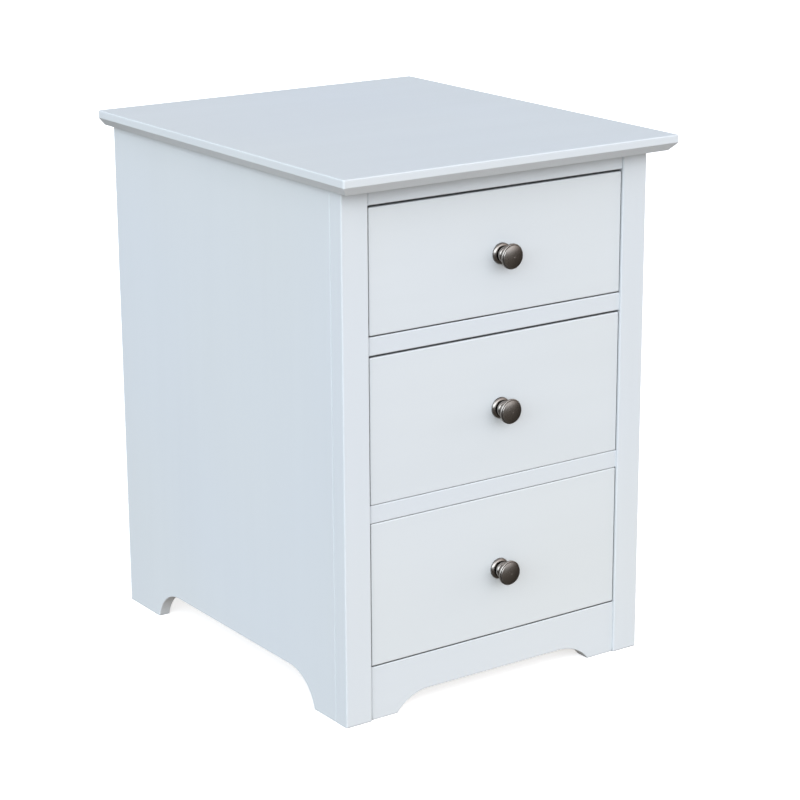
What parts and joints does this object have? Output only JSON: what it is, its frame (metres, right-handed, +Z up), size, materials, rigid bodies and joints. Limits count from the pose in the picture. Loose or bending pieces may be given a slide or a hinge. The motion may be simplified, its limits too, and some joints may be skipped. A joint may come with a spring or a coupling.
{
  "type": "drawer pedestal cabinet",
  "caption": "Painted wood pedestal cabinet with stacked inset drawers on telescopic slides, round knobs, an overhanging bevelled top and bracket feet.",
  "frame": {"origin": "on the floor under the centre of the top panel, which is the centre of the whole object's footprint", "axes": "+Z up; the drawers face -Y and open towards -Y; +X to the right of a person who faces the drawers"},
  "size_m": [0.48, 0.559, 0.6615],
  "materials": {
    "white_paint": "satin cool white enamel over solid wood",
    "drawer_wood": "clear satin lacquer on pale hardwood",
    "drawer_plywood": "clear satin lacquer on birch plywood",
    "raw_wood": "planed, unfinished",
    "pewter": "dark antique pewter plating on die-cast zinc",
    "slide_steel": "bright zinc-plated rolled steel",
    "zinc_steel": "zinc-plated screws"
  },
  "bodies": {
    "cabinet": {"apron": "white_paint", "back_bottom_rail": "white_paint", "back_panel": "white_paint", "back_top_rail": "white_paint", "bottom_left_slide_outer": "slide_steel", "bottom_panel": "white_paint", "bottom_right_slide_outer": "slide_steel", "foot_blocks": "raw_wood", "left_side_panel": "white_paint", "left_stile": "white_paint", "lower_rail": "white_paint", "middle_left_slide_outer": "slide_steel", "middle_right_slide_outer": "slide_steel", "right_side_panel": "white_paint", "right_stile": "white_paint", "slide_screws": "zinc_steel", "slide_spacers": "raw_wood", "top_cleats": "raw_wood", "top_left_slide_outer": "slide_steel", "top_panel": "white_paint", "top_rail": "white_paint", "top_right_slide_outer": "slide_steel", "top_screws": "zinc_steel", "upper_rail": "white_paint"},
    "top_drawer": {"top_drawer_front": "white_paint", "top_box_front": "drawer_wood", "top_box_back": "drawer_wood", "top_box_left_side": "drawer_wood", "top_box_right_side": "drawer_wood", "top_box_bottom": "drawer_plywood", "top_left_slide_inner": "slide_steel", "top_right_slide_inner": "slide_steel", "top_drawer_screws": "zinc_steel", "top_knob": "pewter", "top_knob_screw": "zinc_steel"},
    "top_slide_carriage": {"top_slide_middles": "slide_steel"},
    "middle_drawer": {"middle_drawer_front": "white_paint", "middle_box_front": "drawer_wood", "middle_box_back": "drawer_wood", "middle_box_left_side": "drawer_wood", "middle_box_right_side": "drawer_wood", "middle_box_bottom": "drawer_plywood", "middle_left_slide_inner": "slide_steel", "middle_right_slide_inner": "slide_steel", "middle_drawer_screws": "zinc_steel", "middle_knob": "pewter", "middle_knob_screw": "zinc_steel"},
    "middle_slide_carriage": {"middle_slide_middles": "slide_steel"},
    "bottom_drawer": {"bottom_drawer_front": "white_paint", "bottom_box_front": "drawer_wood", "bottom_box_back": "drawer_wood", "bottom_box_left_side": "drawer_wood", "bottom_box_right_side": "drawer_wood", "bottom_box_bottom": "drawer_plywood", "bottom_left_slide_inner": "slide_steel", "bottom_right_slide_inner": "slide_steel", "bottom_drawer_screws": "zinc_steel", "bottom_knob": "pewter", "bottom_knob_screw": "zinc_steel"},
    "bottom_slide_carriage": {"bottom_slide_middles": "slide_steel"}
  },
  "joints": [
    {"name": "top_drawer_slide", "type": "slide", "parent": "cabinet", "child": "top_drawer", "axis": [0, -1, 0], "range_m": [0, 0.43]},
    {"name": "top_carriage_slide", "type": "slide", "parent": "cabinet", "child": "top_slide_carriage", "axis": [0, -1, 0], "range_m": [0, 0.215]},
    {"name": "middle_drawer_slide", "type": "slide", "parent": "cabinet", "child": "middle_drawer", "axis": [0, -1, 0], "range_m": [0, 0.43]},
    {"name": "middle_carriage_slide", "type": "slide", "parent": "cabinet", "child": "middle_slide_carriage", "axis": [0, -1, 0], "range_m": [0, 0.215]},
    {"name": "bottom_drawer_slide", "type": "slide", "parent": "cabinet", "child": "bottom_drawer", "axis": [0, -1, 0], "range_m": [0, 0.43]},
    {"name": "bottom_carriage_slide", "type": "slide", "parent": "cabinet", "child": "bottom_slide_carriage", "axis": [0, -1, 0], "range_m": [0, 0.215]}
  ],
  "couplings": [
    {"joint": "top_carriage_slide", "follows": "top_drawer_slide", "ratio": 0.5},
    {"joint": "middle_carriage_slide", "follows": "middle_drawer_slide", "ratio": 0.5},
    {"joint": "bottom_carriage_slide", "follows": "bottom_drawer_slide", "ratio": 0.5}
  ]
}
